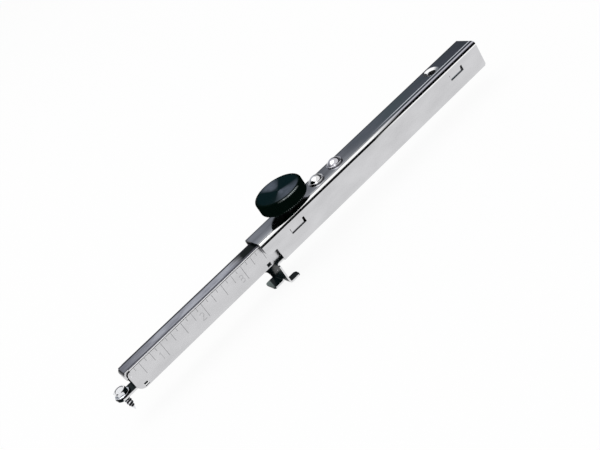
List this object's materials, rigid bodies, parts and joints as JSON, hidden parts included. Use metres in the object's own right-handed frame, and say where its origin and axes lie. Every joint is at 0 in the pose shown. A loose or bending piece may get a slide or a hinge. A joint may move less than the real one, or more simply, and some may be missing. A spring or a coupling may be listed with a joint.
{
  "type": "sheet metal scribe",
  "caption": "Sliding scribe for sheet metal: a scaled channel with a screw point slides in a folded housing with an edge guide and is held by a knurled knob.",
  "frame": {"origin": "middle of the edge guide's working face, where the edge of the work bears", "axes": "+X along the tool from the scribing point's end to the housing's far end, +Z to the knob's side, -Y to the side with the scale"},
  "size_m": [0.2524, 0.0254, 0.0378],
  "materials": {
    "bright_plate": "bright nickel plate on folded steel sheet",
    "channel_steel": "plain plated sheet",
    "guide_plate": "dark oiled steel with bright cut edges",
    "satin_plate": "satin plate with an engraved scale",
    "holder_plate": "dark oiled strip with bright cut edges",
    "zinc_screw": "bright zinc",
    "turned_steel": "turned",
    "brass": "turned",
    "black_knob": "black anodised, knurled rim and turned face",
    "spring_steel": "rolled",
    "bright_rivet": "bright domed heads"
  },
  "bodies": {
    "case": {"housing": "bright_plate", "floor_channel": "channel_steel", "edge_guide": "guide_plate", "clamp_bush": "turned_steel", "drag_spring": "spring_steel", "rivet_front": "bright_rivet", "rivet_rear": "bright_rivet"},
    "slide": {"ruler": "satin_plate", "tip_holder": "holder_plate", "scribing_screw": "zinc_screw"},
    "shoe": {"clamp_shoe": "brass"},
    "knob": {"clamp_knob": "black_knob", "clamp_stud": "turned_steel"}
  },
  "joints": [
    {"name": "ruler_slide", "type": "slide", "parent": "case", "child": "slide", "axis": [1, 0, 0], "range_m": [-0.0245, 0.08415]},
    {"name": "clamp_travel", "type": "slide", "parent": "case", "child": "shoe", "axis": [0, 0, 1], "range_m": [0, 0.0012]},
    {"name": "knob_turn", "type": "hinge", "parent": "shoe", "child": "knob", "pos_m": [0.0239, 0, 0.0205], "axis": [0, 0, 1], "range_deg": [0, 541]}
  ],
  "couplings": [
    {"joint": "knob_turn", "follows": "clamp_travel", "rad_per_m": 7854}
  ]
}
